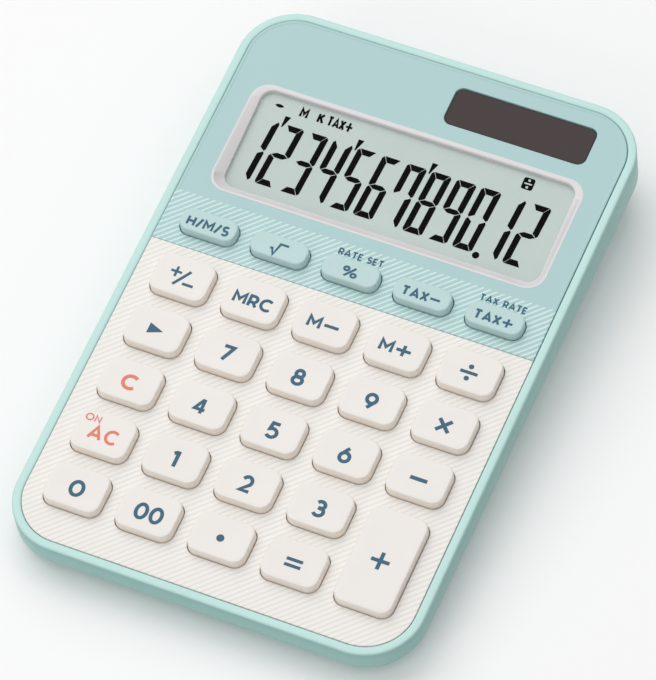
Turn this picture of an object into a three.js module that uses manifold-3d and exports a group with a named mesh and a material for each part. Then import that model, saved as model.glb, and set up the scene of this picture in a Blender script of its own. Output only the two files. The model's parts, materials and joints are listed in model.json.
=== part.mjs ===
// A desk calculator: twelve-digit display, solar cell with a button cell behind it, and 29 sprung keys.
//
// Millimetres. Everything is drawn on the sloping face: x to the right, y towards the display, z out of
// the face, with z = 0 on the face itself. The whole assembly is then turned by the slope and set down
// on its rubber feet, so that +Z is up and the origin is under the middle of the case.
import * as THREE from 'three';
import { mergeVertices } from 'three/addons/utils/BufferGeometryUtils.js';
import Module from 'manifold-3d';

const wasm = await Module();
wasm.setup();

// ---- driving dimensions ---------------------------------------------------------------------------

const WIDTH = 104.5;
const LENGTH = 159.5;
const CORNER_RADIUS = 14.4;
const FRONT_DEPTH = 9.4; // face to underside, at the front edge
const REAR_DEPTH = 21.4; // face to underside, at the rear edge
const SIDE_FRONT = 6.45; // height of the upper case's side, at the front edge
const SIDE_REAR = 10.6; // height of the upper case's side, at the rear edge
const RIM_WIDTH = 2.25;
const RIM_ROUND = 0.9;
const WALL = 1.8;
const FIT = 0.3; // gap between pieces that touch
const SEAM_GAP = 0.2; // gap round the printed panels

const PANEL_THICKNESS = 1.0;
const FLOOR_TOP = -PANEL_THICKNESS - FIT; // the upper case's floor, which carries the panels
const FLOOR_BOTTOM = FLOOR_TOP - 1.3;
const PANEL_SEAM_Y = 7.2; // where the display panel meets the keypad panel

const COLUMN_PITCH = 18.7;
const ROW_PITCH = 15.38;
const FIRST_ROW_Y = -1.75;
const FUNCTION_ROW_Y = 13.9;
const KEY_OPENING = { width: 15.2, length: 11.6, radius: 3.1 };
const PILL_OPENING = { width: 15.2, length: 6.95, radius: 2.9 };
const KEY_CLEARANCE = 0.2;
const KEY_HEIGHT = 2.3; // key top above the face
const KEY_ROUND = 0.55;
const KEY_DRAFT = 0.12;
const FLANGE_PROUD = 0.8;
const FLANGE_TOP = FLOOR_BOTTOM - FIT;
const FLANGE_BOTTOM = FLANGE_TOP - 0.7;

const DOME_TOP = FLANGE_BOTTOM - FIT;
const MAT_TOP = DOME_TOP - 1.6;
const MAT_BOTTOM = MAT_TOP - 0.6;
const BOARD_TOP = MAT_BOTTOM - FIT;
const BOARD_BOTTOM = BOARD_TOP - 1.2;
const BOARD = { halfWidth: 47.5, front: -69.2, rear: 24 };

const BEZEL = { x: 0.2, y: 41.25, width: 87.4, length: 32.1, radius: 4.6 };
const WINDOW = { x: 0.4, y: 42.1, width: 83.0, length: 28.0, radius: 3.0 };
const WINDOW_DEPTH = 1.45; // the display window under the face, at its middle
const WINDOW_SLOPE = 0.082; // its front edge lies deeper than its rear edge
const WINDOW_THICKNESS = 0.5;
const GLASS_THICKNESS = 1.6;

const SOLAR = { x: 22.05, y: 67.35, width: 36.9, length: 10.7, radius: 2.0 };

const SCREW_PLACES = [[-30, -73.1], [30, -73.1], [-43.4, 63.5], [43.4, 63.5]];
const SCREW_NAMES = ['front_left', 'front_right', 'rear_left', 'rear_right'];
const BOSS_RADIUS = 2.5;
const SCREW_RADIUS = 1.05;
const SCREW_HEAD_RADIUS = 2.3;
const SCREW_HEAD_HEIGHT = 1.5;
const CROSS_LENGTH = 2.6;
const CROSS_WIDTH = 0.6;

const FOOT_PLACES = [[-37, -62], [37, -62], [-37, 53], [37, 53]];
const FOOT_RADIUS = 4.0;
const FOOT_PROUD = 0.7;

const CELL = { x: -20, y: 44, radius: 5.8, height: 5.4 };
const COVER = { x: -14.5, y: 44, width: 29, length: 17, radius: 3, thickness: 1.4 };
const COVER_SCREW_X = -4.5;
const COVER_SCREW_LENGTH = 3.6;
const COVER_SCREW_HEAD = 0.75;
const COVER_SEAT = COVER.thickness - 0.6; // the screw head's seat, sunk in the cover

// ---- derived values -------------------------------------------------------------------------------

const HALF_WIDTH = WIDTH / 2;
const HALF_LENGTH = LENGTH / 2;
const SLOPE = Math.atan((REAR_DEPTH - FRONT_DEPTH) / LENGTH);
const MIDDLE_DEPTH = (FRONT_DEPTH + REAR_DEPTH) / 2;

const between = (front, rear) => (y) => -(front + (rear - front) * (y + HALF_LENGTH) / LENGTH);
const undersideZ = between(FRONT_DEPTH, REAR_DEPTH);
const sideFootZ = between(SIDE_FRONT, SIDE_REAR);
const windowZ = (y) => -WINDOW_DEPTH + (y - WINDOW.y) * WINDOW_SLOPE;
const above = (surface, height) => (y) => surface(y) + height;

// ---- shape helpers --------------------------------------------------------------------------------

// Points round a rectangle with rounded corners, anticlockwise seen from +z.
function roundedOutline({ halfX, halfY, radius, segments, x = 0, y = 0 }) {
  const points = [];
  const corners = [[1, 1], [-1, 1], [-1, -1], [1, -1]];
  corners.forEach(([sideX, sideY], corner) => {
    for (let step = 0; step <= segments; step += 1) {
      const angle = (Math.PI / 2) * (corner + step / segments);
      const px = x + sideX * (halfX - radius) + radius * Math.cos(angle);
      const py = y + sideY * (halfY - radius) + radius * Math.sin(angle);
      points.push(new THREE.Vector2(px, py));
    }
  });
  return points;
}

const outlineOf = ({ x, y, width, length, radius }, grow, segments) => roundedOutline({
  x, y, halfX: width / 2 + grow, halfY: length / 2 + grow, radius: Math.max(radius + grow, 0.1), segments,
});

// One ring of a loft: an outline lifted to a height, which may be a number or a function of y.
function ring(outline, height) {
  const heightAt = typeof height === 'function' ? height : () => height;
  return outline.map((point) => new THREE.Vector3(point.x, point.y, heightAt(point.y)));
}

function geometryFrom(vertices, triangles) {
  const geometry = new THREE.BufferGeometry();
  const positions = vertices.flatMap((vertex) => [vertex.x, vertex.y, vertex.z]);
  geometry.setAttribute('position', new THREE.Float32BufferAttribute(positions, 3));
  geometry.setIndex(triangles);
  geometry.computeVertexNormals();
  return geometry;
}

function bandTriangles(lower, upper, count) {
  const triangles = [];
  for (let i = 0; i < count; i += 1) {
    const next = (i + 1) % count;
    triangles.push(lower + i, lower + next, upper + next);
    triangles.push(lower + i, upper + next, upper + i);
  }
  return triangles;
}

// A closed solid through rings of equal length, from the lowest to the highest, with flat ends.
function loft(rings) {
  const count = rings[0].length;
  const triangles = [];
  for (let level = 0; level + 1 < rings.length; level += 1) {
    triangles.push(...bandTriangles(level * count, (level + 1) * count, count));
  }
  const last = (rings.length - 1) * count;
  for (let i = 1; i + 1 < count; i += 1) {
    triangles.push(0, i + 1, i);
    triangles.push(last, last + i, last + i + 1);
  }
  return geometryFrom(rings.flat(), triangles);
}

// A closed picture-frame solid: its section runs through the rings and back to the first.
function frameSolid(rings) {
  const count = rings[0].length;
  const triangles = [];
  rings.forEach((unused, level) => {
    const next = (level + 1) % rings.length;
    triangles.push(...bandTriangles(level * count, next * count, count));
  });
  return geometryFrom(rings.flat(), triangles);
}

function slab(outline, bottom, top) {
  return loft([ring(outline, bottom), ring(outline, top)]);
}

function plate(outline, holes, bottom, top) {
  const shape = new THREE.Shape(outline);
  shape.holes = holes.map((hole) => new THREE.Path(hole));
  const geometry = new THREE.ExtrudeGeometry(shape, { depth: top - bottom, bevelEnabled: false });
  return geometry.translate(0, 0, bottom);
}

function rod(radius, bottom, top, x = 0, y = 0, sides = 16) {
  const geometry = new THREE.CylinderGeometry(radius, radius, top - bottom, sides);
  return geometry.rotateX(Math.PI / 2).translate(x, y, (bottom + top) / 2);
}

function block(x, y, z, width, length, height) {
  return new THREE.BoxGeometry(width, length, height).translate(x, y, z);
}

// A solid turned about the z axis from a profile of [radius, z] pairs.
function turned(profile, sides) {
  const points = profile.map(([radius, z]) => new THREE.Vector2(radius, z));
  return new THREE.LatheGeometry(points, sides).rotateX(Math.PI / 2);
}

// ---- joining and cutting --------------------------------------------------------------------------

function solidOf(geometry) {
  const bare = geometry.clone();
  bare.deleteAttribute('normal');
  bare.deleteAttribute('uv');
  const merged = mergeVertices(bare, 1e-4);
  const vertProperties = Float32Array.from(merged.attributes.position.array);
  const triVerts = Uint32Array.from(merged.index.array);
  return new wasm.Manifold(new wasm.Mesh({ numProp: 3, vertProperties, triVerts }));
}

function geometryOf(solid) {
  const mesh = solid.getMesh();
  const geometry = new THREE.BufferGeometry();
  geometry.setAttribute('position', new THREE.Float32BufferAttribute(mesh.vertProperties, 3));
  geometry.setIndex(Array.from(mesh.triVerts));
  geometry.computeVertexNormals();
  return geometry;
}

function join(...geometries) {
  return geometryOf(geometries.map(solidOf).reduce((whole, solid) => whole.add(solid)));
}

function cut(geometry, ...tools) {
  return geometryOf(tools.map(solidOf).reduce((whole, solid) => whole.subtract(solid), solidOf(geometry)));
}

// ---- the assembly ---------------------------------------------------------------------------------

const assembly = new THREE.Group();

// The underside's own frame: z = 0 on the flat underside, which is level once the slope is applied.
const underside = new THREE.Group();
underside.position.z = -MIDDLE_DEPTH;
underside.rotation.x = -SLOPE;
underside.updateMatrix();
assembly.add(underside);
const onUnderside = (geometry) => geometry.applyMatrix4(underside.matrix);

function place(group, name, geometry, color, roughness, metalness = 0) {
  const material = new THREE.MeshStandardMaterial({ color, roughness, metalness });
  const mesh = new THREE.Mesh(geometry, material);
  mesh.name = name;
  group.add(mesh);
  return mesh;
}

const MINT = 0xc2e5e0;
const MINT_PANEL = 0xb3d1cf;
const CREAM = 0xece8e5;
const STEEL = 0xc8c8c4;
const CONTACT_STEEL = 0xcfcabd;
const SCREW_STEEL = 0x9a9a98;
const LEAD_COLOURS = { positive: 0xb03028, negative: 0x22242a };

// ---- keys -----------------------------------------------------------------------------------------

const COLUMNS = [-2, -1, 0, 1, 2].map((column) => column * COLUMN_PITCH);
const ROWS = [0, 1, 2, 3, 4].map((row) => FIRST_ROW_Y - row * ROW_PITCH);

const FUNCTION_KEYS = ['key_time', 'key_root', 'key_percent', 'key_tax_minus', 'key_tax_plus'];
const MAIN_KEYS = [
  ['key_sign', 'key_memory_recall', 'key_memory_minus', 'key_memory_plus', 'key_divide'],
  ['key_backspace', 'key_7', 'key_8', 'key_9', 'key_multiply'],
  ['key_clear', 'key_4', 'key_5', 'key_6', 'key_minus'],
  ['key_all_clear', 'key_1', 'key_2', 'key_3', 'key_plus'],
  ['key_0', 'key_00', 'key_point', 'key_equals'],
];
const TALL_KEY = 'key_plus';

// Every key: its name, its colour, its opening in the panel, and the rubber domes under it.
function keyList() {
  const keys = FUNCTION_KEYS.map((name, column) => ({
    name,
    color: MINT,
    opening: { ...PILL_OPENING, x: COLUMNS[column], y: FUNCTION_ROW_Y },
    domes: [FUNCTION_ROW_Y],
  }));
  MAIN_KEYS.forEach((names, row) => {
    names.forEach((name, column) => {
      const tall = name === TALL_KEY;
      const extra = tall ? ROW_PITCH : 0;
      const opening = { ...KEY_OPENING, x: COLUMNS[column], y: ROWS[row] - extra / 2 };
      opening.length += extra;
      const domes = tall ? [ROWS[row], ROWS[row] - extra] : [ROWS[row]];
      keys.push({ name, color: CREAM, opening, domes });
    });
  });
  return keys;
}

const KEYS = keyList();

function keyCap(opening) {
  const CORNER_STEPS = 3;
  const level = (grow, height) => ring(outlineOf(opening, grow, CORNER_STEPS), height);
  const side = -KEY_CLEARANCE;
  return loft([
    level(FLANGE_PROUD, FLANGE_BOTTOM),
    level(FLANGE_PROUD, FLANGE_TOP),
    level(side, FLANGE_TOP),
    level(side - KEY_DRAFT, KEY_HEIGHT - KEY_ROUND),
    level(side - KEY_DRAFT - KEY_ROUND, KEY_HEIGHT),
  ]);
}

KEYS.forEach(({ name, opening, color }) => place(assembly, name, keyCap(opening), color, 0.45));

// ---- case and panels ------------------------------------------------------------------------------

const CASE_STEPS = 6;
const caseOutline = (inset, radius = CORNER_RADIUS - inset) => roundedOutline({
  halfX: HALF_WIDTH - inset, halfY: HALF_LENGTH - inset, radius, segments: CASE_STEPS,
});

// The floor's key holes have plain chamfered corners, hidden under the panels.
const floorHole = (opening) => outlineOf({ ...opening, radius: 1.2 }, 0.1, 1);

function upperCase() {
  const shell = loft([
    ring(caseOutline(0.3), sideFootZ),
    ring(caseOutline(0), above(sideFootZ, 0.5)),
    ring(caseOutline(0), -RIM_ROUND),
    ring(caseOutline(RIM_ROUND * 0.3), -RIM_ROUND * 0.3),
    ring(caseOutline(RIM_ROUND), 0),
  ]);
  const pocket = slab(caseOutline(RIM_WIDTH), FLOOR_TOP, 1);
  const hollow = slab(caseOutline(WALL), -2 * REAR_DEPTH, FLOOR_BOTTOM);
  const keyHoles = KEYS.map(({ opening }) => slab(floorHole(opening), FLOOR_BOTTOM - 1, 0));
  const displayHole = slab(outlineOf(BEZEL, SEAM_GAP, 4), FLOOR_BOTTOM - 1, 0);
  const solarHole = slab(outlineOf(SOLAR, -1.2, 1), FLOOR_BOTTOM - 1, 0);
  const bosses = SCREW_PLACES.map(([x, y]) => rod(BOSS_RADIUS, bossFootZ(y), FLOOR_BOTTOM + 0.5, x, y));
  const pilots = SCREW_PLACES.map(([x, y]) => rod(SCREW_RADIUS + FIT, -2 * REAR_DEPTH, FLOOR_BOTTOM, x, y));
  const opened = cut(shell, pocket, hollow, ...keyHoles, displayHole, solarHole);
  return cut(join(opened, ...bosses), ...pilots);
}

// Where the upper case's screw bosses meet the lower case's pillars: a little above mid-depth.
function bossFootZ(y) {
  const BOSS_SHARE = 0.45;
  const BOSS_START = 1.8;
  return undersideZ(y) * BOSS_SHARE - BOSS_START;
}

// The part of the panel recess on one side of the seam, as an outline.
function panelOutline(front, rear) {
  const inset = RIM_WIDTH + SEAM_GAP;
  const segments = CASE_STEPS;
  const whole = roundedOutline({
    halfX: HALF_WIDTH - inset, halfY: HALF_LENGTH - inset, radius: CORNER_RADIUS - inset, segments,
  });
  const halfX = HALF_WIDTH - inset;
  const kept = whole.filter((point) => point.y > front && point.y < rear);
  if (rear < HALF_LENGTH) {
    return [new THREE.Vector2(halfX, rear), new THREE.Vector2(-halfX, rear), ...kept];
  }
  return [new THREE.Vector2(halfX, front), ...kept, new THREE.Vector2(-halfX, front)];
}

const holesOf = (keys, steps) => keys.map(({ opening }) => outlineOf(opening, 0, steps));
const PANEL_HOLE_STEPS = 3;

function keypadPanel() {
  const keys = KEYS.filter(({ opening }) => opening.y < PANEL_SEAM_Y);
  const outline = panelOutline(-HALF_LENGTH, PANEL_SEAM_Y - SEAM_GAP / 2);
  return plate(outline, holesOf(keys, PANEL_HOLE_STEPS), -PANEL_THICKNESS, 0);
}

function displayPanel() {
  const keys = KEYS.filter(({ opening }) => opening.y > PANEL_SEAM_Y);
  const outline = panelOutline(PANEL_SEAM_Y + SEAM_GAP / 2, HALF_LENGTH);
  const openings = [outlineOf(BEZEL, SEAM_GAP, 4), outlineOf(SOLAR, SEAM_GAP, 3)];
  return plate(outline, [...holesOf(keys, PANEL_HOLE_STEPS), ...openings], -PANEL_THICKNESS, 0);
}

place(assembly, 'upper_case', upperCase(), MINT, 0.4);
place(assembly, 'keypad_panel', keypadPanel(), CREAM, 0.5);
place(assembly, 'display_panel', displayPanel(), MINT_PANEL, 0.35);

// The lower case's outline, drawn in from the side's foot by these insets.
const BASE_INSET = { side: 3.5, front: 3.0, rear: 4.5 };
const LOWER_WALL = 1.6;

function baseOutline(part, extra) {
  const side = BASE_INSET.side * part + extra;
  const front = BASE_INSET.front * part + extra;
  const rear = BASE_INSET.rear * part + extra;
  return roundedOutline({
    halfX: HALF_WIDTH - side,
    halfY: HALF_LENGTH - (front + rear) / 2,
    y: (front - rear) / 2,
    radius: CORNER_RADIUS - side,
    segments: CASE_STEPS,
  });
}

function lowerCase() {
  const LEDGE = 0.6; // how far the lower case's edge stands back from the upper case's side
  const LIP_OUTSIDE = WALL + FIT;
  const LIP_INSIDE = LIP_OUTSIDE + 1.2;
  const LIP_HEIGHT = 1.6;
  const shell = loft([
    ring(baseOutline(1, 0.8), above(undersideZ, 0)),
    ring(baseOutline(1, 0), above(undersideZ, 0.8)),
    ring(baseOutline(0, LEDGE), above(sideFootZ, -0.9)),
    ring(baseOutline(0, LEDGE), above(sideFootZ, -FIT)),
    ring(baseOutline(0, LIP_OUTSIDE), above(sideFootZ, -FIT)),
    ring(baseOutline(0, LIP_OUTSIDE), above(sideFootZ, LIP_HEIGHT)),
  ]);
  const hollow = loft([
    ring(baseOutline(1, LOWER_WALL + 0.4), above(undersideZ, LOWER_WALL)),
    ring(baseOutline(0, LIP_INSIDE), above(sideFootZ, -0.9)),
    ring(baseOutline(0, LIP_INSIDE), above(sideFootZ, LIP_HEIGHT + 1)),
  ]);
  const pillars = SCREW_PLACES.map(([x, y]) => rod(PILLAR_RADIUS, undersideZ(y) + 1, pillarTopZ(y), x, y));
  const wells = SCREW_PLACES.map(([x, y]) => rod(WELL_RADIUS, undersideZ(y) - 2, screwSeatZ(y), x, y));
  const pilots = SCREW_PLACES.map(([x, y]) => rod(SCREW_RADIUS + FIT, undersideZ(y), 0, x, y));
  const footWells = FOOT_PLACES.map(([x, y]) => onUnderside(rod(FOOT_RADIUS + FIT, -1, 0.8, x, y, 20)));
  const tray = join(cut(shell, hollow), ...pillars, onUnderside(batteryHousing()));
  return cut(tray, ...wells, ...pilots, ...footWells, ...batteryCuts().map(onUnderside));
}

const PILLAR_RADIUS = 3.6;
const WELL_RADIUS = SCREW_HEAD_RADIUS + FIT;
const pillarTopZ = (y) => bossFootZ(y) - FIT;
const screwSeatZ = (y) => pillarTopZ(y) - 1.2;

// ---- battery compartment, drawn on the underside --------------------------------------------------

const COVER_TOP = COVER.thickness;
const CELL_BOTTOM = COVER_TOP + FIT;
const CELL_TOP = CELL_BOTTOM + CELL.height;
const CONTACT_THICKNESS = 0.3;
const WELL_TOP = CELL_TOP + 2 * FIT + CONTACT_THICKNESS;
const HOUSING_FLOOR = 1.2;
const HOUSING_WALL = 2.2;
const HOUSING_TOP = WELL_TOP + HOUSING_FLOOR;
const COVER_BOSS_TOP = 7;
const COVER_BOSS_RADIUS = 3;
const CONTACT_WIDTH = 4;
const SIDE_CONTACT_Y = CELL.y + CELL.radius + FIT + CONTACT_THICKNESS / 2;

function batteryHousing() {
  const START = 1; // inside the lower case's floor
  const side = 2 * (CELL.radius + HOUSING_WALL);
  const middle = (HOUSING_TOP + START) / 2;
  const cellBlock = block(CELL.x, CELL.y, middle, side, side, HOUSING_TOP - START);
  const screwBoss = rod(COVER_BOSS_RADIUS, START, COVER_BOSS_TOP, COVER_SCREW_X, COVER.y);
  const frame = slab(outlineOf(COVER, 1.5, 3), 0.6, COVER_TOP + FIT + HOUSING_FLOOR);
  return join(cellBlock, screwBoss, frame);
}

function batteryCuts() {
  const coverRecess = slab(outlineOf(COVER, FIT, 3), -1, COVER_TOP + FIT);
  const well = rod(CELL.radius + FIT, 0, WELL_TOP, CELL.x, CELL.y, 24);
  const slotWidth = CONTACT_WIDTH + 2 * FIT;
  const slotDepth = CONTACT_THICKNESS + 2 * FIT;
  const slotMiddle = HOUSING_TOP / 2 + 1;
  const sideSlot = block(CELL.x, SIDE_CONTACT_Y, slotMiddle, slotWidth, slotDepth, HOUSING_TOP + 1);
  const leadSlot = block(CELL.x - 5, CELL.y, WELL_TOP, 8, 2, 6);
  const pilot = rod(SCREW_RADIUS + FIT, 0, COVER_BOSS_TOP - 1, COVER_SCREW_X, COVER.y);
  return [coverRecess, well, sideSlot, leadSlot, pilot];
}

function batteryCover() {
  const lid = slab(outlineOf(COVER, 0, 3), 0, COVER_TOP);
  const hole = rod(SCREW_RADIUS + FIT, -1, COVER_TOP + 1, COVER_SCREW_X, COVER.y);
  const sink = rod(SCREW_HEAD_RADIUS + FIT, -1, COVER_SEAT, COVER_SCREW_X, COVER.y);
  return cut(lid, hole, sink);
}

// A pan-head screw with a cross recess, standing head down with its seat at z = 0.
function screw(shaftLength, headHeight = SCREW_HEAD_HEIGHT) {
  const underHead = -0.05;
  const body = turned([
    [0, -headHeight],
    [SCREW_HEAD_RADIUS * 0.7, -headHeight],
    [SCREW_HEAD_RADIUS, -headHeight * 0.45],
    [SCREW_HEAD_RADIUS, underHead],
    [SCREW_RADIUS, underHead],
    [SCREW_RADIUS, shaftLength - 1],
    [0, shaftLength],
  ], 12);
  const recess = (width, length) => block(0, 0, -headHeight, width, length, headHeight);
  return cut(body, recess(CROSS_WIDTH, CROSS_LENGTH), recess(CROSS_LENGTH, CROSS_WIDTH));
}

place(assembly, 'lower_case', lowerCase(), MINT, 0.5);
place(underside, 'battery_cover', batteryCover(), MINT, 0.5);

const buttonCell = rod(CELL.radius, CELL_BOTTOM, CELL_TOP, CELL.x, CELL.y, 24);
place(underside, 'button_cell', buttonCell, STEEL, 0.3, 1);

function negativeContact() {
  const bottom = CELL_TOP + FIT;
  const disc = rod(4, bottom, bottom + CONTACT_THICKNESS, CELL.x, CELL.y, 12);
  const tail = block(CELL.x - 5.5, CELL.y, bottom + CONTACT_THICKNESS / 2, 6, 1.4, CONTACT_THICKNESS);
  return join(disc, tail);
}

function positiveContact() {
  const height = HOUSING_TOP - CELL_BOTTOM;
  return block(CELL.x, SIDE_CONTACT_Y, CELL_BOTTOM + height / 2, CONTACT_WIDTH, CONTACT_THICKNESS, height);
}

place(underside, 'battery_contact_negative', negativeContact(), CONTACT_STEEL, 0.35, 1);
place(underside, 'battery_contact_positive', positiveContact(), CONTACT_STEEL, 0.35, 1);

const coverScrewShape = screw(COVER_SCREW_LENGTH, COVER_SCREW_HEAD);
const coverScrew = place(underside, 'battery_cover_screw', coverScrewShape, SCREW_STEEL, 0.35, 1);
coverScrew.position.set(COVER_SCREW_X, COVER.y, COVER_SEAT - FIT / 2);

SCREW_PLACES.forEach(([x, y], index) => {
  const seat = screwSeatZ(y) - FIT / 2;
  const shaft = Math.min(8, FLOOR_BOTTOM - 0.6 - seat);
  const mesh = place(assembly, `case_screw_${SCREW_NAMES[index]}`, screw(shaft), SCREW_STEEL, 0.35, 1);
  mesh.position.set(x, y, seat);
});

const FOOT_SUNK = 0.5; // how deep a foot sits in its well
const FOOT_CHAMFER = 0.4;
const RUBBER = 0x3a3d3f;

function rubberFoot() {
  return turned([
    [0, -FOOT_PROUD],
    [FOOT_RADIUS - FOOT_CHAMFER, -FOOT_PROUD],
    [FOOT_RADIUS, -FOOT_PROUD + FOOT_CHAMFER],
    [FOOT_RADIUS, FOOT_SUNK],
    [0, FOOT_SUNK],
  ], 20);
}

FOOT_PLACES.forEach(([x, y], index) => {
  const mesh = place(underside, `rubber_foot_${SCREW_NAMES[index]}`, rubberFoot(), RUBBER, 0.85);
  mesh.position.set(x, y, 0);
});

// ---- display and solar cell -----------------------------------------------------------------------

function displayBezel() {
  const STEPS = 4;
  const outer = outlineOf(BEZEL, 0, STEPS);
  const inner = outlineOf(WINDOW, 0, STEPS);
  const foot = above(windowZ, -WINDOW_THICKNESS);
  const LIP = 0.25; // how far the surround's inner edge stands above the window
  return frameSolid([
    ring(outer, foot),
    ring(outer, 0),
    ring(inner, above(windowZ, LIP)),
    ring(inner, foot),
  ]);
}

function tiltedSheet(grow, top, thickness, steps = 3) {
  const outline = outlineOf(WINDOW, grow, steps);
  return loft([ring(outline, above(windowZ, top - thickness)), ring(outline, above(windowZ, top))]);
}

const GLASS_TOP = -WINDOW_THICKNESS - FIT;
const HOLDER_TOP = GLASS_TOP - GLASS_THICKNESS - FIT;

// The display glass and its holder have square corners and reach under the bezel's foot.
const DISPLAY_SHEET = { x: WINDOW.x, y: WINDOW.y - 0.6, width: 85.0, length: 29.4, radius: 0.6 };

function displaySheet(top, thickness) {
  const outline = outlineOf(DISPLAY_SHEET, 0, 1);
  return loft([ring(outline, above(windowZ, top - thickness)), ring(outline, above(windowZ, top))]);
}

place(assembly, 'lcd_bezel', displayBezel(), 0xd9d0d4, 0.35);
place(assembly, 'lcd_window', tiltedSheet(-SEAM_GAP, 0, WINDOW_THICKNESS), 0xd4dcd8, 0.05);
place(assembly, 'lcd_glass', displaySheet(GLASS_TOP, GLASS_THICKNESS), 0xc0ccc8, 0.2);
place(assembly, 'lcd_holder', displaySheet(HOLDER_TOP, 1.0), 0xe4e6e4, 0.6);

// The flexible strip that carries the display's connections from the glass down to the board.
function heatSealConnector() {
  const THICKNESS = 0.25;
  const HALF = 34;
  const glassFront = DISPLAY_SHEET.y - DISPLAY_SHEET.length / 2;
  const boardLevel = BOARD_TOP + FIT;
  const lower = [
    [glassFront - FIT, windowZ(glassFront) + GLASS_TOP - FIT],
    [BOARD.rear + 1.4, boardLevel + 0.9],
    [BOARD.rear, boardLevel],
    [BOARD.rear - 2.7, boardLevel],
  ];
  const upper = lower.map(([y, z]) => [y, z + THICKNESS]).reverse();
  const shape = new THREE.Shape([...lower, ...upper].map(([y, z]) => new THREE.Vector2(y, z)));
  const strip = new THREE.ExtrudeGeometry(shape, { depth: 2 * HALF, bevelEnabled: false });
  // The section is drawn in (y, z) and extruded along x.
  const alongX = new THREE.Matrix4().makeBasis(
    new THREE.Vector3(0, 1, 0),
    new THREE.Vector3(0, 0, 1),
    new THREE.Vector3(1, 0, 0),
  );
  return strip.applyMatrix4(alongX).translate(-HALF, 0, 0);
}

place(assembly, 'heat_seal_connector', heatSealConnector(), 0xb88a4a, 0.5);

const SOLAR_WINDOW_TOP = -0.4;
const SOLAR_CELL_TOP = FLOOR_TOP - 0.1;
const SOLAR_CELL_THICKNESS = 1.1;
const SOLAR_CELL_BOTTOM = SOLAR_CELL_TOP - SOLAR_CELL_THICKNESS;
place(
  assembly,
  'solar_window',
  slab(outlineOf(SOLAR, 0, 3), FLOOR_TOP + FIT, SOLAR_WINDOW_TOP),
  0x4d4344,
  0.12,
);
place(
  assembly,
  'solar_cell',
  slab(outlineOf(SOLAR, -1.5, 1), SOLAR_CELL_BOTTOM, SOLAR_CELL_TOP),
  0x3a2c2e,
  0.2,
);

// ---- electronics ----------------------------------------------------------------------------------

function circuitBoard() {
  const { halfWidth, front, rear } = BOARD;
  const outline = roundedOutline({
    halfX: halfWidth, halfY: (rear - front) / 2, y: (rear + front) / 2, radius: 3, segments: 2,
  });
  return slab(outline, BOARD_BOTTOM, BOARD_TOP);
}

const MAT = { halfWidth: 46.5, front: -69, rear: 20.6 };
const DOME_RADIUS = 4;
const DOME_TAPER = 1.2; // how much narrower a dome is at its top
const DOME_SHOULDER = 0.3; // upright part of a dome, above the mat

function rubberDome(x, y, radius) {
  const foot = MAT_BOTTOM + 0.3;
  return turned([
    [0, foot],
    [radius, foot],
    [radius, MAT_TOP + DOME_SHOULDER],
    [radius - DOME_TAPER, DOME_TOP],
    [0, DOME_TOP],
  ], 8).translate(x, y, 0);
}

function rubberKeypad() {
  const { halfWidth, front, rear } = MAT;
  const outline = roundedOutline({
    halfX: halfWidth, halfY: (rear - front) / 2, y: (rear + front) / 2, radius: 2, segments: 2,
  });
  const domesOf = ({ opening, domes }) => {
    const radius = Math.min(DOME_RADIUS, opening.length / 2 - KEY_CLEARANCE);
    return domes.map((y) => rubberDome(opening.x, y, radius));
  };
  return join(slab(outline, MAT_BOTTOM, MAT_TOP), ...KEYS.flatMap(domesOf));
}

place(assembly, 'rubber_keypad', rubberKeypad(), 0xd8d8d4, 0.8);
place(assembly, 'circuit_board', circuitBoard(), 0x9a7440, 0.6);

const CHIP = { x: 18, y: 4, radius: 5.6, height: 1.2 };

// A low drop of black resin under the board.
function chipCover() {
  const top = BOARD_BOTTOM - FIT;
  return turned([
    [0, top - CHIP.height],
    [CHIP.radius * 0.55, top - CHIP.height],
    [CHIP.radius * 0.9, top - CHIP.height / 2],
    [CHIP.radius, top],
    [0, top],
  ], 16).translate(CHIP.x, CHIP.y, 0);
}

place(assembly, 'chip_cover', chipCover(), 0x1b1b1c, 0.4);

function lead(...points) {
  const RADIUS = 0.45;
  const route = new THREE.CatmullRomCurve3(points.map((point) => new THREE.Vector3(...point)));
  const section = new THREE.Shape(Array.from({ length: 6 }, (unused, side) => {
    const angle = (side / 6) * 2 * Math.PI;
    return new THREE.Vector2(RADIUS * Math.cos(angle), RADIUS * Math.sin(angle));
  }));
  return new THREE.ExtrudeGeometry(section, { steps: 10, extrudePath: route, bevelEnabled: false });
}

const LEAD_END_Z = BOARD_BOTTOM - 2 * FIT;

// A solar lead drops from the cell, runs under the display and ends under the board's rear edge.
function solarLead(x) {
  return lead(
    [x, SOLAR.y, SOLAR_CELL_BOTTOM - 2 * FIT],
    [x, SOLAR.y - 1.5, -6.5],
    [x, BEZEL.y + 17, -9],
    [x, BEZEL.y + 3, -10],
    [x, BOARD.rear + 6, -9.6],
    [x, BOARD.rear - 1, LEAD_END_Z],
  );
}

place(assembly, 'solar_lead_positive', solarLead(12), LEAD_COLOURS.positive, 0.5);
place(assembly, 'solar_lead_negative', solarLead(16), LEAD_COLOURS.negative, 0.5);

// The battery leads start beside the contacts, above the housing, and end under the board.
function batteryLead(startX, startY, crossX, endX) {
  const CLEAR = 0.9; // above the housing
  const crossY = CELL.y - 8;
  const startZ = undersideZ(startY) + HOUSING_TOP + CLEAR;
  const crossZ = undersideZ(crossY) + HOUSING_TOP + CLEAR;
  return lead(
    [startX, startY, startZ],
    [crossX, crossY, crossZ],
    [endX, crossY - 6, crossZ],
    [endX, BOARD.rear - 1, LEAD_END_Z],
  );
}

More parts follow.
